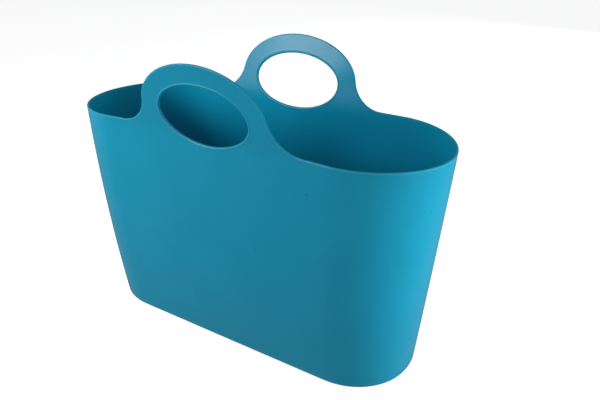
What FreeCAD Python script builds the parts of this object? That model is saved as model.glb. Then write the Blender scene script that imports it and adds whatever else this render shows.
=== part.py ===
import FreeCAD, Part
import Sketcher
import math
import os
from FreeCAD import Placement, Rotation, Vector
from Sketcher import Constraint

# An oblong flexible carry tub with rounded ends and two carrying loops that stand up from its long
# walls. It is one moulding of soft plastic, divided here where it bends in use: at the root of each
# loop. X runs along the tub, Y from front (-Y) to rear, Z up from the surface it stands on.
# Everything is in millimetres.

SIZES = {
    # plan of the walls at the foot and, extended, at the height where the loops begin to bend
    "foot_half_length": 202.5,
    "foot_half_width": 71.0,
    "foot_end": 70.0,           # length of each half-elliptical end
    "mouth_half_length": 226.0,
    "mouth_half_width": 84.0,
    "mouth_end": 74.0,
    # heights
    "flex_height": 262.0,       # the line about which each loop bends
    "flex_gap": 1.0,            # slit left between tub and loop at that line
    "rim_height": 259.0,        # rim beside the loops
    "rim_end_height": 255.5,    # rim at the tips of the ends
    "trim_height": 270.0,       # walls are drawn this high, then trimmed to the rim
    # thicknesses and edges
    "wall": 2.4,
    "floor": 2.8,
    "foot_recess": 1.6,
    "foot_ring": 10.0,
    "foot_edge": 5.0,           # outer radius where wall meets floor
    "floor_edge": 4.0,          # inner radius where wall meets floor
    "lip_edge": 0.8,            # rounding of the rim, the loops and the hand holes
    "gate_radius": 3.0,
    "gate_height": 0.8,
    # carrying loops, measured in the plane of the loop from the line about which it bends
    "loop_lean": 11.0,          # degrees outwards from upright
    "loop_half_width": 77.7,
    "loop_half_height": 51.1,
    "loop_centre": 20.1,
    "neck_half_width": 99.0,    # half-width of the root where it bends
    "root_radius": 37.2,        # sweep from loop to rim
    "hole_half_width": 55.2,
    "hole_half_height": 31.2,
    "hole_centre": 17.8,
}

HALF_TURN = math.pi
START, END, CENTRE = 1, 2, 3    # the points of a sketch curve
ORIGIN = (-1, 1)                # the sketch's own origin
ACROSS, UP = -1, -2             # its horizontal and vertical axes
NEAR = 0.01
SHOULDER_GUESS = 0.13           # radians round the crown, from which the sweeps' ends are solved

NECK_TOP = "Sizes.flex_height - Sizes.flex_gap / 2"
LOOP_BASE = "Sizes.flex_gap / 2"
ABOVE_ALL = "Sizes.trim_height + 5"
OUTSIDE = "Sizes.mouth_half_length + 5"

doc = FreeCAD.newDocument("carry_tub")
sheet = doc.addObject("Spreadsheet::Sheet", "Sizes")
for row, (alias, value) in enumerate(SIZES.items(), start=1):
    sheet.set(f"A{row}", alias)
    sheet.set(f"B{row}", str(value))
    sheet.setAlias(f"B{row}", alias)
doc.recompute()


def worked_out(formula):
    """The number that a formula over the sheet gives now."""
    return float(sheet.evalExpression(formula))


def new_body(label):
    body = doc.addObject("PartDesign::Body", label)
    body.Label = label
    return body


def origin_plane(body, role):
    return next(item for item in body.Origin.OriginFeatures if item.Role == role)


def new_sketch(body, name, plane_role, height=None):
    """A sketch on one of the body's own origin planes, raised by a formula where one is given."""
    sketch = body.newObject("Sketcher::SketchObject", name)
    sketch.AttachmentSupport = [(origin_plane(body, plane_role), "")]
    sketch.MapMode = "FlatFace"
    if height:
        sketch.setExpression("AttachmentOffset.Base.z", height)
    return sketch


def dimension(sketch, kind, points, name, formula):
    """A named dimension of the sketch, bound to the sheet."""
    index = sketch.addConstraint(Constraint(kind, *points, worked_out(formula)))
    sketch.renameConstraint(index, name)
    sketch.setExpression(f"Constraints.{name}", formula)


def join_ends(sketch, ends):
    """Closes a loop of curves, each given as (curve, where it is entered, where it is left)."""
    for (curve, _, left_at), (following, entered_at, _) in zip(ends, ends[1:] + ends[:1]):
        sketch.addConstraint(Constraint("Coincident", curve, left_at, following, entered_at))


def internal_lines(sketch, ellipse):
    """Exposes an ellipse's two diameters and gives their indices, major first."""
    first = sketch.GeometryCount
    sketch.exposeInternalGeometry(ellipse)
    return first, first + 1


def on_the_lip(cut):
    """A test for the edges that run along the rim and round the lower part of the hand holes."""
    lowest = worked_out("Sizes.flex_height + Sizes.hole_centre - Sizes.hole_half_height") - 1

    def wanted(edge):
        box = edge.BoundBox
        along = box.XLength > worked_out("Sizes.wall")
        return along and box.ZMin > lowest and box.ZMin < cut - NEAR
    return wanted


def on_the_faces(half_wall, base):
    """A test for the edges of a plate's two faces, apart from those at its base."""
    def wanted(edge):
        box = edge.BoundBox
        on_face = abs(abs(box.YMin) - half_wall) < NEAR and box.YLength < NEAR
        return on_face and box.ZMax > base + NEAR
    return wanted


def oblong(sketch, half_length, half_width, end):
    """Two straight sides and two half-elliptical ends, each end wider than it is long."""
    a, w, e = worked_out(half_length), worked_out(half_width), worked_out(end)
    c = a - e
    right_ellipse = Part.Ellipse(Vector(c, w, 0), Vector(c - e, 0, 0), Vector(c, 0, 0))
    left_ellipse = Part.Ellipse(Vector(-c, w, 0), Vector(-a, 0, 0), Vector(-c, 0, 0))
    front = sketch.addGeometry(Part.LineSegment(Vector(-c, -w, 0), Vector(c, -w, 0)))
    right = sketch.addGeometry(Part.ArcOfEllipse(right_ellipse, HALF_TURN, 2 * HALF_TURN))
    rear = sketch.addGeometry(Part.LineSegment(Vector(c, w, 0), Vector(-c, w, 0)))
    left = sketch.addGeometry(Part.ArcOfEllipse(left_ellipse, 0, HALF_TURN))
    join_ends(sketch, [(curve, START, END) for curve in (front, right, rear, left)])
    for name, arc, side in (("right", right, 1), ("left", left, -1)):
        major, minor = internal_lines(sketch, arc)
        sketch.addConstraint(Constraint("Vertical", major))
        sketch.addConstraint(Constraint("PointOnObject", arc, CENTRE, ACROSS))
        for point in (START, END):
            sketch.addConstraint(Constraint("Vertical", arc, CENTRE, arc, point))
        dimension(sketch, "Distance", (major,), f"{name}_breadth", f"2 * ({half_width})")
        dimension(sketch, "Distance", (minor,), f"{name}_depth", f"2 * ({end})")
        pair = (*ORIGIN, arc, CENTRE) if side > 0 else (arc, CENTRE, *ORIGIN)
        dimension(sketch, "DistanceX", pair, f"{name}_reach", f"({half_length}) - ({end})")
    return sketch


def wall_section(body, name, height, inset="0"):
    """The tub's plan at a height, in line with the slope from foot to mouth, inset by a formula."""
    sketch = new_sketch(body, name, "XY_Plane", height)
    sizes = []
    for part in ("half_length", "half_width", "end"):
        foot, mouth = f"Sizes.foot_{part}", f"Sizes.mouth_{part}"
        slope = f"({mouth} - {foot}) / Sizes.flex_height"
        sizes.append(f"{foot} + {slope} * ({height}) - ({inset})")
    return oblong(sketch, *sizes)


def whole_ellipse(sketch, half_width, half_height, centre):
    """An upright-centred ellipse, wider than it is high."""
    w, high, middle = worked_out(half_width), worked_out(half_height), worked_out(centre)
    shape = Part.Ellipse(Vector(w, middle, 0), Vector(0, middle + high, 0), Vector(0, middle, 0))
    ellipse = sketch.addGeometry(shape)
    major, minor = internal_lines(sketch, ellipse)
    sketch.addConstraint(Constraint("Horizontal", major))
    sketch.addConstraint(Constraint("PointOnObject", ellipse, CENTRE, UP))
    dimension(sketch, "Distance", (major,), "width", f"2 * ({half_width})")
    dimension(sketch, "Distance", (minor,), "height", f"2 * ({half_height})")
    dimension(sketch, "DistanceY", (*ORIGIN, ellipse, CENTRE), "rise", centre)
    return sketch


def loft(body, kind, name, lower, upper):
    """A loft drawn from the top down, which leaves the solid's faces pointing outwards."""
    feature = body.newObject(f"PartDesign::{kind}", name)
    feature.Profile = upper
    feature.Sections = [lower]
    return feature


def through_cut(body, name, sketch):
    """Cuts a front-elevation outline straight through, both ways from the middle."""
    cut = body.newObject("PartDesign::Pocket", name)
    cut.Profile = sketch
    cut.Type = "ThroughAll"
    cut.SideType = "Symmetric"
    return cut


def fillet(body, name, size, wanted):
    """Rounds the edges of the body's tip that the test `wanted` picks."""
    doc.recompute()
    base = body.Tip
    edges = [f"Edge{n}" for n, edge in enumerate(base.Shape.Edges, start=1) if wanted(edge)]
    feature = body.newObject("PartDesign::Fillet", name)
    feature.Base = (base, edges)
    feature.setExpression("Radius", size)
    return feature


def lies_at(height):
    """A test for edges that lie level at a height."""
    def wanted(edge):
        box = edge.BoundBox
        return max(abs(box.ZMin - height), abs(box.ZMax - height)) < NEAR
    return wanted


def arc_between(centre, start, end):
    """The arc about a centre that runs anticlockwise from the direction of start to that of end."""
    spoke = start - centre
    circle = Part.Circle(centre, Vector(0, 0, 1), spoke.Length)
    first = math.atan2(spoke.y, spoke.x)
    last = math.atan2(end.y - centre.y, end.x - centre.x)
    return Part.ArcOfCircle(circle, first, last if last > first else last + 2 * HALF_TURN)


def above_the_rim(body):
    """Right half of what is trimmed off: level over the neck, swept down to the rim, then level."""
    neck, cut = worked_out("Sizes.neck_half_width"), worked_out(NECK_TOP)
    radius, rim = worked_out("Sizes.root_radius"), worked_out("Sizes.rim_height")
    outer, rim_end = worked_out(OUTSIDE), worked_out("Sizes.rim_end_height")
    top = worked_out(ABOVE_ALL)
    foot = neck + math.sqrt(radius ** 2 - (rim + radius - cut) ** 2)
    fall, run = rim - rim_end, outer - foot
    rim_radius = (run ** 2 + fall ** 2) / (2 * fall)
    corners = [Vector(*xy, 0) for xy in ((0, cut), (neck, cut), (foot, rim), (outer, rim_end),
                                         (outer, top), (0, top))]
    sweep_centre, rim_centre = Vector(foot, rim + radius, 0), Vector(foot, rim - rim_radius, 0)

    sketch = new_sketch(body, "above_the_rim", "XZ_Plane")
    neck_line = sketch.addGeometry(Part.LineSegment(corners[0], corners[1]))
    sweep = sketch.addGeometry(arc_between(sweep_centre, corners[1], corners[2]))
    rim_arc = sketch.addGeometry(arc_between(rim_centre, corners[3], corners[2]))
    side = sketch.addGeometry(Part.LineSegment(corners[3], corners[4]))
    top_line = sketch.addGeometry(Part.LineSegment(corners[4], corners[5]))
    middle = sketch.addGeometry(Part.LineSegment(corners[5], corners[0]))
    join_ends(sketch, [(neck_line, START, END), (sweep, START, END), (rim_arc, END, START),
                       (side, START, END), (top_line, START, END), (middle, START, END)])
    for curve, direction in ((neck_line, "Horizontal"), (side, "Vertical"), (top_line, "Horizontal")):
        sketch.addConstraint(Constraint(direction, curve))
    for point in (START, END):
        sketch.addConstraint(Constraint("PointOnObject", middle, point, UP))
    for arc in (sweep, rim_arc):
        sketch.addConstraint(Constraint("Vertical", arc, CENTRE, sweep, END))
    dimension(sketch, "DistanceX", (neck_line, START, neck_line, END), "neck", "Sizes.neck_half_width")
    dimension(sketch, "DistanceY", (*ORIGIN, neck_line, END), "cut", NECK_TOP)
    dimension(sketch, "Radius", (sweep,), "sweep", "Sizes.root_radius")
    dimension(sketch, "DistanceY", (*ORIGIN, sweep, END), "rim", "Sizes.rim_height")
    dimension(sketch, "DistanceX", (*ORIGIN, side, START), "outer", OUTSIDE)
    dimension(sketch, "DistanceY", (*ORIGIN, side, START), "rim_end", "Sizes.rim_end_height")
    dimension(sketch, "DistanceY", (*ORIGIN, top_line, END), "top", ABOVE_ALL)
    return sketch


def loop_outline(body):
    """Outer edge of a carrying loop: a level root, a sweep up each side and an elliptical crown."""
    neck, base = worked_out("Sizes.neck_half_width"), worked_out(LOOP_BASE)
    radius, centre = worked_out("Sizes.root_radius"), worked_out("Sizes.loop_centre")
    w, high = worked_out("Sizes.loop_half_width"), worked_out("Sizes.loop_half_height")
    crown = Part.Ellipse(Vector(w, centre, 0), Vector(0, centre + high, 0), Vector(0, centre, 0))
    shoulder = Vector(crown.value(SHOULDER_GUESS))
    sweep_centre = shoulder + Vector(radius, 0, 0)
    right_base, left_base = Vector(neck, base, 0), Vector(-neck, base, 0)

    def mirrored(point):
        return Vector(-point.x, point.y, 0)

    sketch = new_sketch(body, "loop_outline", "XZ_Plane")
    root = sketch.addGeometry(Part.LineSegment(left_base, right_base))
    right = sketch.addGeometry(arc_between(sweep_centre, shoulder, right_base))
    top = sketch.addGeometry(Part.ArcOfEllipse(crown, SHOULDER_GUESS, HALF_TURN - SHOULDER_GUESS))
    left = sketch.addGeometry(arc_between(mirrored(sweep_centre), left_base, mirrored(shoulder)))
    sketch.addConstraint(Constraint("Symmetric", root, START, root, END, UP))
    sketch.addConstraint(Constraint("Coincident", root, END, right, END))
    sketch.addConstraint(Constraint("Tangent", right, START, top, START))
    sketch.addConstraint(Constraint("Tangent", top, END, left, END))
    sketch.addConstraint(Constraint("Coincident", left, START, root, START))
    major, minor = internal_lines(sketch, top)
    sketch.addConstraint(Constraint("Horizontal", major))
    sketch.addConstraint(Constraint("PointOnObject", top, CENTRE, UP))
    dimension(sketch, "Distance", (major,), "crown_width", "2 * Sizes.loop_half_width")
    dimension(sketch, "Distance", (minor,), "crown_height", "2 * Sizes.loop_half_height")
    dimension(sketch, "DistanceY", (*ORIGIN, top, CENTRE), "crown_rise", "Sizes.loop_centre")
    dimension(sketch, "DistanceX", (*ORIGIN, root, END), "neck", "Sizes.neck_half_width")
    dimension(sketch, "DistanceY", (*ORIGIN, root, END), "base", LOOP_BASE)
    for name, arc in (("right_sweep", right), ("left_sweep", left)):
        dimension(sketch, "Radius", (arc,), name, "Sizes.root_radius")
    return sketch


def make_tub():
    body = new_body("tub")
    floor_top = "Sizes.foot_recess + Sizes.floor"

    foot = wall_section(body, "foot_outline", "0")
    brim = wall_section(body, "brim_outline", "Sizes.trim_height")
    loft(body, "AdditiveLoft", "outside", foot, brim)
    fillet(body, "foot_edge", "Sizes.foot_edge", lies_at(0))

    floor = wall_section(body, "floor_outline", floor_top, "Sizes.wall")
    mouth = wall_section(body, "mouth_outline", "Sizes.trim_height", "Sizes.wall")
    loft(body, "SubtractiveLoft", "inside", floor, mouth)
    fillet(body, "floor_edge", "Sizes.floor_edge", lies_at(worked_out(floor_top)))

    recess = body.newObject("PartDesign::Pocket", "foot_recess")
    recess.Profile = wall_section(body, "recess_outline", "0", "Sizes.foot_ring")
    recess.Reversed = True
    recess.setExpression("Length", "Sizes.foot_recess")

    gate_sketch = new_sketch(body, "gate_outline", "XY_Plane", "Sizes.foot_recess")
    mark = gate_sketch.addGeometry(Part.Circle(Vector(0, 0, 0), Vector(0, 0, 1), 1))
    gate_sketch.addConstraint(Constraint("Coincident", mark, CENTRE, *ORIGIN))
    dimension(gate_sketch, "Radius", (mark,), "gate", "Sizes.gate_radius")
    gate = body.newObject("PartDesign::Pad", "gate_mark")
    gate.Profile = gate_sketch
    gate.Reversed = True
    gate.setExpression("Length", "Sizes.gate_height")

    trimmed = through_cut(body, "trim", above_the_rim(body))
    mirror = body.newObject("PartDesign::Mirrored", "trim_left")
    mirror.Originals = [trimmed]
    mirror.MirrorPlane = (origin_plane(body, "YZ_Plane"), [""])
    body.Tip = mirror

    lean = "cos(Sizes.loop_lean)"
    hole_sketch = new_sketch(body, "hole_outline", "XZ_Plane")
    whole_ellipse(hole_sketch, "Sizes.hole_half_width", f"Sizes.hole_half_height * {lean}",
                  f"Sizes.flex_height + Sizes.hole_centre * {lean}")
    through_cut(body, "hand_hole", hole_sketch)
    fillet(body, "lip", "Sizes.lip_edge", on_the_lip(worked_out(NECK_TOP)))
    return body


def make_loop(label, side):
    """A carrying loop on the front (side -1) or rear (side 1) wall, as a leaning plate."""
    body = new_body(label)
    plate = body.newObject("PartDesign::Pad", "plate")
    plate.Profile = loop_outline(body)
    plate.SideType = "Symmetric"
    plate.setExpression("Length", "Sizes.wall")
    hole_sketch = new_sketch(body, "hole_outline", "XZ_Plane")
    whole_ellipse(hole_sketch, "Sizes.hole_half_width", "Sizes.hole_half_height", "Sizes.hole_centre")
    through_cut(body, "hand_hole", hole_sketch)
    fillet(body, "lip", "Sizes.lip_edge", on_the_faces(worked_out("Sizes.wall / 2"), worked_out(LOOP_BASE)))

    body.Placement = Placement(Vector(0, 0, 0), Rotation(Vector(1, 0, 0), 1))
    body.setExpression("Placement.Base.y", f"{side} * (Sizes.mouth_half_width - Sizes.wall / 2)")
    body.setExpression("Placement.Base.z", "Sizes.flex_height")
    body.setExpression("Placement.Rotation.Angle", f"{-side} * Sizes.loop_lean")
    return body


pieces = [make_tub(), make_loop("front_handle", -1), make_loop("rear_handle", 1)]
doc.recompute()

for item in doc.Objects:
    if {"Invalid", "Error"} & set(item.State):
        raise RuntimeError(f"{item.Label} failed: {item.State}")
for piece in pieces:
    if piece.Shape.isNull() or not piece.Shape.isValid() or len(piece.Shape.Solids) != 1:
        raise RuntimeError(f"{piece.Label} is not one sound solid")

os.makedirs("parts", exist_ok=True)
for piece in pieces:
    piece.Shape.exportStep(f"parts/{piece.Label}.step")
    box = piece.Shape.BoundBox
    print(piece.Label, "volume", round(piece.Shape.Volume), "box", box)
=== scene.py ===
"""An oblong teal plastic carry tub with two carrying loops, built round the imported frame."""
import math

import bpy
import numpy as np
from mathutils import Matrix, Vector
from mathutils.kdtree import KDTree


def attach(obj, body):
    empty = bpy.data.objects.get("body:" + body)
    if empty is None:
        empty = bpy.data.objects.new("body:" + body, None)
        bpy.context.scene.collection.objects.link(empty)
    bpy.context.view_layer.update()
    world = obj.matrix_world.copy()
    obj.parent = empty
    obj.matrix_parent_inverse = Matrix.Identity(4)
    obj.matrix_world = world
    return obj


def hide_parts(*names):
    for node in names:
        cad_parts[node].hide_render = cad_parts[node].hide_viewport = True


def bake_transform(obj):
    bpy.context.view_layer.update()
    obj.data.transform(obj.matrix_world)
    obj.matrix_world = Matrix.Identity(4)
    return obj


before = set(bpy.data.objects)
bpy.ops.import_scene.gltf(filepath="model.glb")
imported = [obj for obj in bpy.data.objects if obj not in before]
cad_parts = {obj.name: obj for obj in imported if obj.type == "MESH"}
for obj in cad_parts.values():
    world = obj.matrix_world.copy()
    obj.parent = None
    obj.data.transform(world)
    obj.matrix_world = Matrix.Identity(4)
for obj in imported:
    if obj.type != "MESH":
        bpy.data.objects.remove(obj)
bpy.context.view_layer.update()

MM = 0.001

# ---------------------------------------------------------------------------------------------
# Sizes of the moulding, in millimetres. The plan at any height is two long sides, slightly
# hollowed by the soft wall, and two rounded ends; every plan size runs from foot to brim.

BRIM = 250.0                                  # height to which the plan sizes run
HALF_LENGTH = (202.6, 225.0)
HALF_WIDTH = (70.3, 91.1)
END_LENGTH = (71.6, 85.5)
END_POWER = (2.09, 1.88)                      # 2 is an ellipse
HOLLOW = (0.0, 9.2)                           # how far the middle of a long side draws in
BELLY = 4.0                                   # how far the walls swell at half height
BULGE = 4.0                                   # and how much further at mid-length
RIM, RIM_AT_TIPS, RIM_POWER = 259.1, 255.4, 3.1
WALL = 2.4
LIP = WALL / 2                                # the rim is a full round

LOOP_HALF_WIDTH, LOOP_HALF_HEIGHT, LOOP_CENTRE = 77.9, 50.7, 281.2
SWEEP = 36.9                                  # radius from loop to rim
HOLE_HALF_WIDTH, HOLE_HALF_HEIGHT, HOLE_CENTRE = 55.4, 30.9, 279.5
BEAD, BEAD_WIDTH = 0.45, 1.5                  # the raised lip round each hand hole
LEAN, LEAN_START, LEAN_EASE = 0.235, 257.0, 5.0   # extra outward slope of the loops
LEAN_FULL, LEAN_GONE = 110.0, 200.0           # it fades out along the rim
PIVOT = 262.0                                 # height of the line that a loop bends about
BEND_BELOW, BEND_ABOVE = 3.0, 9.0             # how far the bend spreads each side of that line
SEAM = PIVOT - BEND_BELOW                     # height where the moulding is divided into pieces

FOOT_EDGE, FLOOR_EDGE = 5.0, 4.0              # outer and inner radius between wall and floor
FOOT_RECESS, FLOOR = 1.6, 2.8
FLOOR_TOP = FOOT_RECESS + FLOOR
FOOT_RING = 10.0                              # width of the flat ring that the tub stands on
RECESS_LEAN = 0.2                             # how far the side of the recess leans in
EASE_FAR, EASE_NEAR = 0.5, 0.1                # how the two corners of that side are softened
GATE_RADIUS, GATE_HEIGHT = 3.0, 0.8           # the round mark of the feed point, underneath
GATE_EASE_FAR, GATE_EASE_NEAR = GATE_HEIGHT / 4, GATE_HEIGHT / 12

# How finely the surface is divided.
PANEL_SPAN = 126.0                            # half-width of the panel that carries a loop
PANEL_FOOT = 206.0                            # height where that panel begins
PANEL_COLUMNS, PANEL_ROWS, PANEL_RINGS = 56, 14, 12
SWEEP_POINTS, CROWN_POINTS = 12, 150
END_COLUMNS, WALL_ROWS = 60, 44
BEAD_RINGS = (0.0, 0.25, 0.5, 0.75, 1.0, 1.25, 1.5)   # distances from the edge of a hand hole
FLOOR_INSETS = (20.0, 34.0, 48.0, 59.0, 66.0)
EDGE_STEPS, ROUND_STEPS = 8, 8
GATE_POINTS = 48
RELAX_TURNS = 40
DENSE = 600                                   # samples along a curve before it is divided evenly
WELD_DECIMALS = 4                             # points alike to this many decimals are one point
STEEPEST_LEAVE, LEAVE_TOLERANCE = 0.6, 1e-9   # in radians, for the search in sweep_start

TUB, FRONT, REAR = 0, 1, 2                    # which piece a face belongs to


def ease(share):
    share = np.clip(share, 0, 1)
    return share * share * (3 - 2 * share)


def between(pair, height):
    return pair[0] + (pair[1] - pair[0]) * height / BRIM


def evenly(points, count):
    """A polyline divided into `count` equal lengths."""
    steps = np.linalg.norm(np.diff(points, axis=0), axis=1)
    along = np.concatenate([[0.0], np.cumsum(steps)])
    wanted = np.linspace(0, along[-1], count + 1)
    return np.stack([np.interp(wanted, along, column) for column in points.T], axis=1)


# ---------------------------------------------------------------------------------------------
# The wall as a surface.

def plan_sizes(height, inset):
    """Half-length, half-width, end length and end power of the plan at a height."""
    t = height / BRIM
    swell = BELLY * 4 * t * (1 - t)
    return (between(HALF_LENGTH, height) - inset, between(HALF_WIDTH, height) + swell - inset,
            between(END_LENGTH, height) - inset, between(END_POWER, height))


def bend_at(x, height, half_length):
    """How far the soft wall stands out of the plan: drawn in at mid-length, leaning at a loop."""
    t = height / BRIM
    middle = 1 - np.clip(np.abs(x) / half_length, 0, 1) ** 2
    draw = between(HOLLOW, height) * middle - BULGE * 4 * np.clip(t * (1 - t), 0, 1) * middle ** 2
    rise = LEAN_EASE * np.logaddexp(0.0, (height - LEAN_START) / LEAN_EASE)
    fade = 1 - ease((np.abs(x) - LEAN_FULL) / (LEAN_GONE - LEAN_FULL))
    return LEAN * rise * fade - draw


def wall_y(x, height, inset=0.0):
    """Distance from the middle plane to the wall's surface, at x and height."""
    a, b, e, n = plan_sizes(height, inset)
    s = np.clip((np.abs(x) - (a - e)) / e, 0, 1)
    return b * (1 - s ** n) ** (1 / n) + bend_at(x, height, a)


def end_curve(height, inset):
    """Plan of a quarter of the tub, from the side of the panel to the tip, evenly divided."""
    a, b, e, n = plan_sizes(height, inset)
    angle = np.linspace(0, math.pi / 2, DENSE)
    x = a - e + e * np.sin(angle) ** (2 / n)
    y = b * np.maximum(np.cos(angle), 0) ** (2 / n)
    x, y = np.append(PANEL_SPAN, x), np.append(b, y)
    return evenly(np.stack([x, y + bend_at(x, height, a)], axis=1), END_COLUMNS)


def rim_height(x):
    """Top of the wall's face, a lip's radius under the top of the rim."""
    return RIM + (RIM_AT_TIPS - RIM) * (np.abs(x) / HALF_LENGTH[1]) ** RIM_POWER - LIP


def whole_loop(height, inset):
    """The plan all round, from the left end of the front panel: front, right end, rear, left end."""
    quarter = end_curve(height, inset)
    across = np.linspace(-PANEL_SPAN, PANEL_SPAN, PANEL_COLUMNS + 1)
    front = np.stack([across, -wall_y(across, height, inset)], axis=1)
    right_front, right_rear = quarter * (1, -1), quarter[::-1]
    rear, left_rear, left_front = -front, quarter * (-1, 1), quarter[::-1] * (-1, -1)
    loop = np.concatenate([front[:-1], right_front[:-1], right_rear[:-1],
                           rear[:-1], left_rear[:-1], left_front[:-1]])
    return np.column_stack([loop, np.full(len(loop), height)])


# ---------------------------------------------------------------------------------------------
# The panel that carries a loop, drawn in front elevation as rings round its hand hole.

def ellipse(width, height, centre, angle):
    return np.stack([width * np.cos(angle), centre + height * np.sin(angle)], axis=-1)


def sweep_start():
    """Angle on the crown where the sweep down to the rim leaves it, and the sweep's centre."""
    low, high = 0.0, STEEPEST_LEAVE
    while high - low > LEAVE_TOLERANCE:
        angle = (low + high) / 2
        normal = np.array([math.cos(angle) / LOOP_HALF_WIDTH, math.sin(angle) / LOOP_HALF_HEIGHT])
        normal /= np.linalg.norm(normal)
        centre = ellipse(LOOP_HALF_WIDTH, LOOP_HALF_HEIGHT, LOOP_CENTRE, angle) + SWEEP * normal
        if centre[1] < rim_height(centre[0]) + LIP + SWEEP:
            low = angle
        else:
            high = angle
    return angle, centre


def panel_edge():
    """The panel's outer edge, anticlockwise from the right seam: loop, left, foot, right."""
    leave, centre = sweep_start()
    radius = SWEEP + LIP
    crown = ellipse(LOOP_HALF_WIDTH - LIP, LOOP_HALF_HEIGHT - LIP, LOOP_CENTRE,
                    np.linspace(leave, math.pi - leave, DENSE))
    seam_turn = math.pi + math.asin((centre[1] - SEAM) / radius)
    top_turn = math.pi + math.atan2(centre[1] - crown[0, 1], centre[0] - crown[0, 0])

    def sweep(first, last):
        turn = np.linspace(first, last, DENSE)
        return centre + radius * np.stack([np.cos(turn), np.sin(turn)], axis=1)

    upper, lower = sweep(seam_turn, top_turn), sweep(1.5 * math.pi, seam_turn)
    loop = evenly(np.concatenate([upper, crown, upper[::-1] * (-1, 1)]), CROWN_POINTS)
    rim_x = np.linspace(PANEL_SPAN, centre[0], DENSE)
    rim = np.stack([rim_x, rim_height(rim_x)], axis=1)
    right_root = evenly(np.concatenate([rim, lower]), SWEEP_POINTS)
    rows = np.linspace(PANEL_FOOT, rim_height(PANEL_SPAN), PANEL_ROWS + 1)
    right = np.stack([np.full(PANEL_ROWS + 1, PANEL_SPAN), rows], axis=1)
    across = np.linspace(-PANEL_SPAN, PANEL_SPAN, PANEL_COLUMNS + 1)
    foot = np.stack([across, np.full(PANEL_COLUMNS + 1, PANEL_FOOT)], axis=1)
    mirror = (-1, 1)
    return np.concatenate([loop[:-1], (right_root[::-1] * mirror)[:-1], (right[::-1] * mirror)[:-1],
                           foot[:-1], right[:-1], right_root[:-1]])


def hole_edge(count):
    """Edge of the face round the hand hole, matched to the panel's edge point for point."""
    lip = LIP + BEAD
    seam_angle = math.asin((SEAM - HOLE_CENTRE) / (HOLE_HALF_HEIGHT + lip))
    def part(first, last, pieces):
        curve = ellipse(HOLE_HALF_WIDTH + lip, HOLE_HALF_HEIGHT + lip, HOLE_CENTRE,
                        np.linspace(first, last, DENSE))
        return evenly(curve, pieces)[:-1]
    return np.concatenate([part(seam_angle, math.pi - seam_angle, CROWN_POINTS),
                           part(math.pi - seam_angle, 2 * math.pi + seam_angle, count - CROWN_POINTS)])


def outward(closed_curve):
    """Unit normals of an anticlockwise closed curve."""
    along = np.roll(closed_curve, -1, axis=0) - np.roll(closed_curve, 1, axis=0)
    normal = np.stack([along[:, 1], -along[:, 0]], axis=1)
    return normal / np.linalg.norm(normal, axis=1, keepdims=True)


def panel_grid():
    """Front-elevation points of the panel, [round, ring], and each one's distance from the hole."""
    outer = panel_edge()
    inner = hole_edge(len(outer))
    normal = outward(inner)
    rings = [inner + distance * normal for distance in BEAD_RINGS]
    for ring in range(1, PANEL_RINGS + 1):
        share = ring / PANEL_RINGS
        rings.append(rings[len(BEAD_RINGS) - 1] * (1 - share) + outer * share)
    grid = np.stack(rings, axis=1)
    fixed = len(BEAD_RINGS)
    for _ in range(RELAX_TURNS):
        free = grid[:, fixed:-1]
        around = (np.roll(grid, 1, axis=0) + np.roll(grid, -1, axis=0))[:, fixed:-1]
        grid[:, fixed:-1] = free / 2 + (around + grid[:, fixed - 1:-2] + grid[:, fixed + 1:]) / 8
    return grid, np.linalg.norm(grid - inner[:, None], axis=2)


# ---------------------------------------------------------------------------------------------
# The mesh: two matching sheets of wall, an outer and an inner, then their edges and the bottom.

def upper_end(inset):
    """The end of the tub beside the panels: [row, column] from panel side to tip."""
    brim_x = end_curve(BRIM, inset)[:, 0]
    top = rim_height(brim_x)
    block = np.empty((PANEL_ROWS + 1, END_COLUMNS + 1, 3))
    for column in range(END_COLUMNS + 1):
        for row in range(PANEL_ROWS + 1):
            height = PANEL_FOOT + (top[column] - PANEL_FOOT) * row / PANEL_ROWS
            block[row, column] = (*end_curve(height, inset)[column], height)
    return block


def block_faces(rows, columns, first, closed=False):
    """Quads over a [row, column] block of points numbered from `first`."""
    across = columns if closed else columns - 1
    row, column = np.meshgrid(np.arange(rows - 1), np.arange(across), indexing="ij")
    following = (column + 1) % columns
    quads = [row * columns + column, row * columns + following,
             (row + 1) * columns + following, (row + 1) * columns + column]
    return first + np.stack(quads, axis=-1).reshape(-1, 4)


class Sheet:
    """Points, quads and the piece of each quad, gathered block by block."""

    def __init__(self):
        self.points, self.faces, self.pieces, self.count = [], [], [], 0

    def block(self, points, flip=False, closed=False, pieces=TUB):
        rows, columns = points.shape[:2]
        faces = block_faces(rows, columns, self.count, closed)
        self.pieces.append(np.broadcast_to(pieces, (rows - 1, len(faces) // (rows - 1))).ravel())
        self.faces.append(faces[:, ::-1] if flip else faces)
        self.points.append(points.reshape(-1, 3))
        self.count += rows * columns


def wall_sheet(inset):
    """One face of the wall from the floor's edge to the rim, wound to face outwards."""
    sheet = Sheet()
    side = 1 if inset == 0 else -1
    floor_edge = wall_rounding(inset)[0]
    heights = np.linspace(floor_edge, PANEL_FOOT, WALL_ROWS + 1)
    sheet.block(np.stack([whole_loop(height, inset) for height in heights]), closed=True)
    end = upper_end(inset)
    for along in (1, -1):
        for across in (1, -1):
            sheet.block(end * (along, across, 1), flip=along * across > 0)
    grid, distance = panel_grid()
    bead = BEAD * (1 - ease(distance / BEAD_WIDTH)) * side
    on_loop = np.arange(len(grid)) < CROWN_POINTS
    for across, piece in ((-1, FRONT), (1, REAR)):
        y = wall_y(grid[..., 0], grid[..., 1], inset) + bead
        points = np.stack([grid[..., 0], across * y, grid[..., 1]], axis=-1).transpose(1, 0, 2)
        sheet.block(points, flip=across < 0, closed=True, pieces=np.where(on_loop, piece, TUB))
    return np.concatenate(sheet.points), np.concatenate(sheet.faces), np.concatenate(sheet.pieces)


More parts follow.
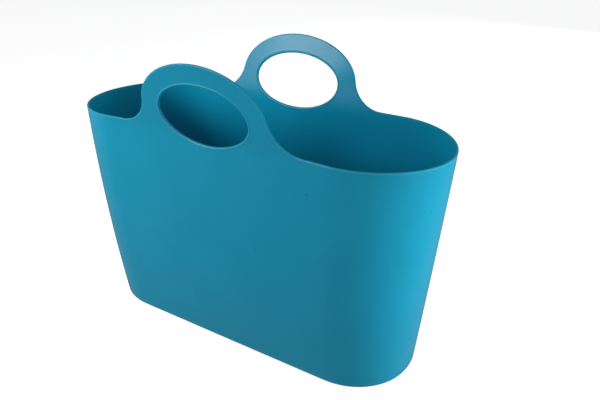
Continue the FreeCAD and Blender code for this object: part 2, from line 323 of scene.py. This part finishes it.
def wall_rounding(inset):
    """Height where the wall meets the radius to the floor, and that radius's own profile."""
    floor, radius = (0.0, FOOT_EDGE) if inset == 0 else (FLOOR_TOP, FLOOR_EDGE)
    draft = math.atan2(HALF_LENGTH[1] - HALF_LENGTH[0], BRIM)
    turn = np.linspace(draft, math.pi / 2, ROUND_STEPS + 1)
    height = floor + radius * (1 - np.sin(turn))
    drawn_in = radius * ((1 - math.sin(draft)) / math.cos(draft) - np.cos(turn))
    slope = (height - floor) * math.tan(draft)
    return height[0], height, inset + drawn_in + slope


def weld(points):
    """Which points to keep so that each place has one, and the new number of every old point."""
    rounded = np.round(points, WELD_DECIMALS) + 0.0      # adding zero turns -0.0 into 0.0
    _, kept, number = np.unique(rounded, axis=0, return_index=True, return_inverse=True)
    return kept, number.reshape(-1)


def open_edges(faces, pieces):
    """Every loop of edges with a face on one side only, in order, with each edge's piece."""
    owner = {}
    for face, piece in zip(faces, pieces):
        for start, end in zip(face, face[1:] + face[:1]):
            owner[start, end] = piece
    following = {start: (end, piece) for (start, end), piece in owner.items()
                 if (end, start) not in owner}
    loops = []
    while following:
        start = min(following)
        loop, edge_pieces = [], []
        while start in following:
            loop.append(start)
            start, piece = following.pop(start)
            edge_pieces.append(piece)
        loops.append((np.array(loop), np.array(edge_pieces)))
    return loops


def full_round(outer, inner):
    """Points [step, along] of the half-round that joins two matching closed edges."""
    middle, half = (outer + inner) / 2, (outer - inner) / 2
    radius = np.linalg.norm(half, axis=1, keepdims=True)
    along = np.roll(middle, -1, axis=0) - np.roll(middle, 1, axis=0)
    away = np.cross(along, half)
    away *= radius / np.linalg.norm(away, axis=1, keepdims=True)
    turn = np.linspace(0, math.pi, EDGE_STEPS + 1)[:, None, None]
    return middle + half * np.cos(turn) + away * np.sin(turn)


def floor_rings(inset):
    """Loops from the wall's foot inwards across the floor, [ring, along]."""
    heights, insets = wall_rounding(inset)[1:]
    rings = [whole_loop(height, drawn_in) for height, drawn_in in zip(heights, insets)]
    edge = insets[-1]
    level = heights[-1]
    if inset == 0:
        ring_end = edge + FOOT_RING
        side_top = ring_end + RECESS_LEAN
        roof = level + FOOT_RECESS
        for drawn_in, height in ((edge + FOOT_RING / 2, level), (ring_end - EASE_FAR, level),
                                 (ring_end - EASE_NEAR, level + EASE_NEAR),
                                 (ring_end, level + EASE_FAR), (side_top, roof - EASE_FAR),
                                 (side_top + EASE_NEAR, roof - EASE_NEAR),
                                 (side_top + EASE_FAR, roof)):
            rings.append(whole_loop(height, drawn_in))
        level = roof
    for drawn_in in FLOOR_INSETS:
        rings.append(whole_loop(0, drawn_in) * (1, 1, 0) + (0, 0, level))
    return np.stack(rings)


def closing_strips(count):
    """Faces that close the last floor ring along its own long middle, by its ring numbers."""
    tip = PANEL_COLUMNS + END_COLUMNS
    faces = []
    for step in range(count // 2):
        front, next_front = (tip - step) % count, (tip - step - 1) % count
        rear, next_rear = (tip + step) % count, (tip + step + 1) % count
        quad = [rear, next_rear, next_front, front]
        faces.append(list(dict.fromkeys(quad)))
    return faces


class Moulding:
    """The whole moulding's points, faces and edges, and the piece of each face."""

    def __init__(self):
        self.points, self.faces, self.pieces, self.count = [], [], [], 0
        self.edges = []

    def add_points(self, points):
        first = self.count
        self.points.extend(points.reshape(-1, 3))
        self.count = len(self.points)
        return np.arange(first, self.count).reshape(points.shape[:-1])

    def add_faces(self, faces, pieces=TUB):
        faces = [list(face) for face in faces]
        self.faces.extend(faces)
        self.pieces.extend(np.broadcast_to(pieces, len(faces)).tolist())

    def add_wall(self):
        outer, quads, pieces = wall_sheet(0)
        inner = wall_sheet(WALL)[0]
        kept, number = weld(outer)
        quads = number[quads]
        self.add_points(outer[kept])
        self.add_points(inner[kept])
        self.add_faces(quads, pieces)
        self.add_faces(quads[:, ::-1] + len(kept), pieces)
        columns = 2 * PANEL_COLUMNS + 4 * END_COLUMNS
        foot = number[:columns]
        for loop, edge_pieces in open_edges(quads.tolist(), pieces.tolist()):
            if not np.isin(loop, foot).any():
                self.round_edge(loop, loop + len(kept), edge_pieces)
        self.add_floor(foot, 0, True)
        self.add_floor(foot + len(kept), WALL, False)

    def round_edge(self, outer, inner, pieces):
        points = np.array(self.points)
        steps = full_round(points[outer], points[inner])
        rows = np.vstack([outer, self.add_points(steps[1:-1]), inner])
        for row, following in zip(rows, rows[1:]):
            start, end = row, np.roll(row, -1)
            start_on, end_on = following, np.roll(following, -1)
            self.add_faces(np.stack([end, start, start_on, end_on], axis=1), pieces)
        self.edges.append(points[outer])

    def add_floor(self, wall_foot, inset, underside):
        rings = floor_rings(inset)
        rows = np.vstack([wall_foot, self.add_points(rings[1:])])
        count = len(wall_foot)
        for row, following in zip(rows, rows[1:]):
            quads = np.stack([row, np.roll(row, -1), np.roll(following, -1), following], axis=1)
            self.add_faces(quads[:, ::-1] if underside else quads)
        strips = [[rows[-1][corner] for corner in face] for face in closing_strips(count)]
        self.add_faces([face[::-1] for face in strips] if underside else strips)


# ---------------------------------------------------------------------------------------------
# From the moulding's arrays to the three Blender pieces.

def corner_normals(points, faces):
    """A smooth unit normal at every point, weighted by the area of the faces round it."""
    normals = np.zeros_like(points)
    for size in (3, 4):
        same = np.array([face for face in faces if len(face) == size])
        corners = points[same]
        area = np.cross(corners[:, 2] - corners[:, 0], corners[:, -1] - corners[:, 1])
        for corner in range(size):
            np.add.at(normals, same[:, corner], area)
    return normals / np.linalg.norm(normals, axis=1, keepdims=True)


def seam_caps(faces, points):
    """Strips across the wall that close a piece where it was cut from its neighbour.

    They face into the piece, unlike its other faces.
    """
    caps = []
    for loop, _ in open_edges(faces, [0] * len(faces)):
        loop = np.roll(loop, -np.argmin(np.abs(points[loop, 0])))[::-1]
        for step in range(len(loop) // 2):
            strip = [loop[-step], loop[-step - 1], loop[(step + 1) % len(loop)], loop[step]]
            caps.append(list(dict.fromkeys(strip)))
    return caps


def make_piece(name, moulding, number, normals, from_edge, material):
    """One piece of the moulding as a closed mesh with the whole moulding's smooth normals."""
    points = np.array(moulding.points)
    faces = [face for face, piece in zip(moulding.faces, moulding.pieces) if piece == number]
    faces += seam_caps(faces, points)
    used = np.unique(np.concatenate(faces))
    renumber = np.full(len(points), -1)
    renumber[used] = np.arange(len(used))
    mesh = bpy.data.meshes.new(name)
    mesh.from_pydata((points[used] * MM).tolist(), [], [renumber[face].tolist() for face in faces])
    mesh.validate()
    mesh.normals_split_custom_set_from_vertices(normals[used].tolist())
    layer = mesh.attributes.new("from_edge", "FLOAT", "POINT")
    layer.data.foreach_set("value", from_edge[used] * MM)
    mesh.materials.append(material)
    piece = bpy.data.objects.new(name, mesh)
    bpy.context.collection.objects.link(piece)
    return piece


# ---------------------------------------------------------------------------------------------
# Looks. Every size from here on is in metres.

TEAL_DEEP, TEAL_PALE = (0.006, 0.352, 0.556), (0.008, 0.375, 0.588)
# Paler colour along the rims and hand-hole edges: partly wear, partly a painted highlight of light
# catching those edges.
TEAL_WORN_AND_HIGHLIT = (0.12, 0.62, 0.78)
EDGE_WEAR_AND_HIGHLIGHT, EDGE_WEAR_AND_HIGHLIGHT_WIDTH = 0.35, 0.0008
SPECK, SPECK_DEPTH = (0.006, 0.09, 0.13), 0.6
ROUGHNESS = (0.20, 0.265)
SHEEN_LEVEL, REFRACTIVE_INDEX = 0.4, 1.5

# Each noise has a size across and a detail; the last four also have a height of bump.
MOTTLE = (0.06, 1.0)
SPECKS = (0.0055, 0.0)
SHINE = (0.04, 2.0)
BROAD_WAVES = (0.09, 1.0, 0.0004)
SMALL_WAVES = (0.02, 3.0, 0.00012)
STREAKS = (0.0018, 2.0, 0.000022)
GRAIN = (0.0004, 1.0, 0.000005)
STREAK_STRETCH = (0.09, 0.09, 1.0)            # mould polishing lines run round the wall
NOISE_RANGE = (0.2, 0.8)                      # where nearly all of a noise's values lie
SPECK_RANGE = (0.90, 0.91)                    # only the rarest peaks of a noise are specks

FLOOR_SIZE, FLOOR_GAP = 30.0, 0.0003
FLOOR_COLOUR, FLOOR_GLOW = (0.93, 0.93, 0.93), 0.7
FLOOR_ROUGHNESS, FLOOR_SHEEN = 0.9, 0.1
WHITE = (1.0, 1.0, 1.0, 1.0)
WORLD_COLOUR, WORLD_STRENGTH = (0.98, 0.99, 1.0), 0.2

CAMERA_ANGLES = (31.825, 25.411, 0.236)       # azimuth from -Y towards +X, elevation, roll
CAMERA_TARGET = (0.0588, 0.0, 0.1708)
CAMERA_DISTANCE = 0.6568
CAMERA_LENS, CAMERA_SENSOR = 35.46, 36.0      # in millimetres

# Name, place, size, watts, the point it faces, and whether it shows in reflections.
LAMPS = (
    ("left_softbox", (-0.5, -0.5, 0.4), (0.3, 0.3), 2.15, (0.0, 0.0, 0.25), False),
    ("right_softbox", (0.61, 0.05, 0.2), (0.4, 0.25), 2.15, (0.0, 0.0, 0.15), False),
    ("front_softbox", (-1.17, -1.87, 0.87), (0.6, 0.7), 10.3, (0.0, 0.09, 0.31), True),
    ("front_high", (-0.6, -1.3, 1.5), (0.8, 0.8), 0.8, (0.0, 0.09, 0.25), False),
    ("rear_fill", (0.6, 2.2, 0.7), (1.2, 0.8), 9, (0.0, 0.0, 0.15), False),
    ("overhead", (-3.0, 7.8, 9.0), (18.0, 18.0), 110, (-3.0, 7.8, 0.0), True),
)

MIX_FIRST, MIX_SECOND, MIX_RESULT = 6, 7, 2   # colour sockets of a Mix node, whose names repeat


def node(tree, kind, **settings):
    """A shader node with its settings; a setting that names an input sets that input."""
    made = tree.nodes.new(kind)
    for name, value in settings.items():
        if hasattr(made, name):
            setattr(made, name, value)
        else:
            made.inputs[name.replace("_", " ")].default_value = value
    return made


def noise(tree, where, size, detail):
    """Noise whose features are about `size` across."""
    made = node(tree, "ShaderNodeTexNoise", Scale=1 / size, Detail=detail)
    tree.links.new(where, made.inputs["Vector"])
    return made.outputs["Fac"]


def remap(tree, value, source, target):
    """A value moved from one range to another, and held within it."""
    made = node(tree, "ShaderNodeMapRange")
    for name, number in zip(("From Min", "From Max", "To Min", "To Max"), (*source, *target)):
        made.inputs[name].default_value = number
    tree.links.new(value, made.inputs["Value"])
    return made.outputs["Result"]


def mixed(tree, share, first, second):
    """A colour between two; each may be a colour or another node's output."""
    made = node(tree, "ShaderNodeMix", data_type="RGBA")
    for socket, colour in ((made.inputs[MIX_FIRST], first), (made.inputs[MIX_SECOND], second)):
        if isinstance(colour, tuple):
            socket.default_value = (*colour, 1.0)
        else:
            tree.links.new(colour, socket)
    tree.links.new(share, made.inputs["Factor"])
    return made.outputs[MIX_RESULT]


def bumped(tree, where, layer, under=None):
    """A normal with one more layer of bump on those under it."""
    size, detail, height = layer
    fine_relief = noise(tree, where, size, detail)
    made = node(tree, "ShaderNodeBump", Strength=1.0, Distance=height)
    tree.links.new(fine_relief, made.inputs["Height"])
    if under is not None:
        tree.links.new(under, made.inputs["Normal"])
    return made.outputs["Normal"]


def teal_plastic():
    """Satin teal polythene: faint mottling, a few specks, edges paled partly by wear and partly by a
    painted highlight, waves and fine grain.
    """
    material = bpy.data.materials.new("teal_polythene")
    material.use_nodes = True
    tree = material.node_tree
    shader = tree.nodes["Principled BSDF"]
    shader.inputs["IOR"].default_value = REFRACTIVE_INDEX
    shader.inputs["Specular IOR Level"].default_value = SHEEN_LEVEL
    where = node(tree, "ShaderNodeTexCoord").outputs["Object"]

    mottle = remap(tree, noise(tree, where, *MOTTLE), NOISE_RANGE, (0.0, 1.0))
    colour = mixed(tree, mottle, TEAL_DEEP, TEAL_PALE)
    edge = node(tree, "ShaderNodeAttribute", attribute_name="from_edge").outputs["Fac"]
    # Paler towards the edges: partly wear, partly a painted highlight where light catches them.
    wear_and_highlight = remap(tree, edge, (0.0, EDGE_WEAR_AND_HIGHLIGHT_WIDTH), (EDGE_WEAR_AND_HIGHLIGHT, 0.0))
    colour = mixed(tree, wear_and_highlight, colour, TEAL_WORN_AND_HIGHLIT)
    speck = remap(tree, noise(tree, where, *SPECKS), SPECK_RANGE, (0.0, SPECK_DEPTH))
    colour = mixed(tree, speck, colour, SPECK)
    tree.links.new(colour, shader.inputs["Base Color"])

    rough = remap(tree, noise(tree, where, *SHINE), NOISE_RANGE, ROUGHNESS)
    tree.links.new(rough, shader.inputs["Roughness"])

    relief = bumped(tree, where, BROAD_WAVES)
    relief = bumped(tree, where, SMALL_WAVES, relief)
    stretched = node(tree, "ShaderNodeMapping", Scale=STREAK_STRETCH)
    tree.links.new(where, stretched.inputs["Vector"])
    relief = bumped(tree, stretched.outputs["Vector"], STREAKS, relief)
    relief = bumped(tree, where, GRAIN, relief)
    tree.links.new(relief, shader.inputs["Normal"])
    return material


def gate_mark(material):
    """The round mark of the feed point on the floor's underside, sunk a little into the floor."""
    low = FOOT_RECESS - GATE_HEIGHT
    profile = ((GATE_RADIUS, FOOT_RECESS + GATE_HEIGHT), (GATE_RADIUS, low + GATE_EASE_FAR),
               (GATE_RADIUS - GATE_EASE_NEAR, low + GATE_EASE_NEAR),
               (GATE_RADIUS - GATE_EASE_FAR, low))
    turn = np.linspace(0, 2 * math.pi, GATE_POINTS, endpoint=False)
    rings = [np.column_stack([radius * np.cos(turn), radius * np.sin(turn),
                              np.full(GATE_POINTS, height)]) for radius, height in profile]
    sides = block_faces(len(profile), GATE_POINTS, 0, closed=True)[:, ::-1].tolist()
    top = list(range(GATE_POINTS))
    bottom = [number + (len(profile) - 1) * GATE_POINTS for number in reversed(top)]
    mesh = bpy.data.meshes.new("gate_mark")
    mesh.from_pydata((np.concatenate(rings) * MM).tolist(), [], sides + [top, bottom])
    mesh.materials.append(material)
    # Beyond the paled edge band, so free of both the wear and the painted edge highlight.
    beyond_paled_edge = mesh.attributes.new("from_edge", "FLOAT", "POINT")
    beyond_paled_edge.data.foreach_set("value", np.full(len(mesh.vertices), 2 * EDGE_WEAR_AND_HIGHLIGHT_WIDTH))
    made = bpy.data.objects.new("gate_mark", mesh)
    bpy.context.collection.objects.link(made)
    return made


def pale_floor():
    """A matt floor that glows a little, to stay white behind the tub."""
    material = bpy.data.materials.new("pale_floor")
    material.use_nodes = True
    shader = material.node_tree.nodes["Principled BSDF"]
    shader.inputs["Base Color"].default_value = (*FLOOR_COLOUR, 1.0)
    shader.inputs["Roughness"].default_value = FLOOR_ROUGHNESS
    shader.inputs["Specular IOR Level"].default_value = FLOOR_SHEEN
    shader.inputs["Emission Color"].default_value = WHITE
    shader.inputs["Emission Strength"].default_value = FLOOR_GLOW
    return material


def add_floor():
    """A wide pale floor; it neither lights the tub nor reflects in it."""
    mesh = bpy.data.meshes.new("floor")
    half = FLOOR_SIZE / 2
    corners = [(-half, -half), (half, -half), (half, half), (-half, half)]
    mesh.from_pydata([(x, y, -FLOOR_GAP) for x, y in corners], [], [(0, 1, 2, 3)])
    mesh.materials.append(pale_floor())
    floor = bpy.data.objects.new("floor", mesh)
    bpy.context.collection.objects.link(floor)
    floor.visible_glossy = False
    floor.visible_diffuse = False


def add_camera():
    """The camera at the photograph's viewing angle."""
    azimuth, elevation, roll = (math.radians(angle) for angle in CAMERA_ANGLES)
    back = Vector((math.sin(azimuth) * math.cos(elevation), -math.cos(azimuth) * math.cos(elevation),
                   math.sin(elevation)))
    camera = bpy.data.objects.new("camera", bpy.data.cameras.new("camera"))
    camera.data.sensor_width = CAMERA_SENSOR
    camera.data.lens = CAMERA_LENS
    camera.location = Vector(CAMERA_TARGET) + back * CAMERA_DISTANCE
    turn = back.to_track_quat("Z", "Y").to_matrix() @ Matrix.Rotation(roll, 3, "Z")
    camera.rotation_euler = turn.to_euler()
    bpy.context.collection.objects.link(camera)
    bpy.context.scene.camera = camera


def add_lamp(name, place, size, power, target, mirrored):
    """A soft area light; one that isn't mirrored lights the surface but shows in no reflection."""
    light = bpy.data.lights.new(name, "AREA")
    light.shape = "RECTANGLE"
    light.size, light.size_y = size
    light.energy = power
    lamp = bpy.data.objects.new(name, light)
    lamp.location = place
    lamp.rotation_euler = (Vector(target) - Vector(place)).to_track_quat("-Z", "Y").to_euler()
    lamp.visible_camera = False
    lamp.visible_glossy = mirrored
    bpy.context.collection.objects.link(lamp)


def add_world():
    """A dim, even, nearly white surround."""
    world = bpy.data.worlds.new("studio")
    world.use_nodes = True
    background = world.node_tree.nodes["Background"]
    background.inputs["Color"].default_value = (*WORLD_COLOUR, 1.0)
    background.inputs["Strength"].default_value = WORLD_STRENGTH
    bpy.context.scene.world = world


def distances(places, edges):
    """How far each place is from the nearest point of the moulding's edges."""
    nearest = KDTree(len(edges))
    for number, point in enumerate(edges):
        nearest.insert(point, number)
    nearest.balance()
    return np.array([nearest.find(place)[2] for place in places])


# ---------------------------------------------------------------------------------------------
# The pieces, and then the studio round them.

plastic = teal_plastic()
moulding = Moulding()
moulding.add_wall()
points = np.array(moulding.points)
normals = corner_normals(points, moulding.faces)
from_edge = distances(points, np.concatenate(moulding.edges))

tub = make_piece("tub_shell", moulding, TUB, normals, from_edge, plastic)
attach(tub, "tub")
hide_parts("tub")

LOOPS = (("front_loop", "front_handle", FRONT, -1), ("rear_loop", "rear_handle", REAR, 1))
for name, body, number, side in LOOPS:
    loop = make_piece(name, moulding, number, normals, from_edge, plastic)
    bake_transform(loop)
    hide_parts(body)

gate = gate_mark(plastic)
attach(gate, "tub")

add_floor()
add_camera()
for lamp in LAMPS:
    add_lamp(*lamp)
add_world()
bpy.context.scene.view_settings.view_transform = "Standard"
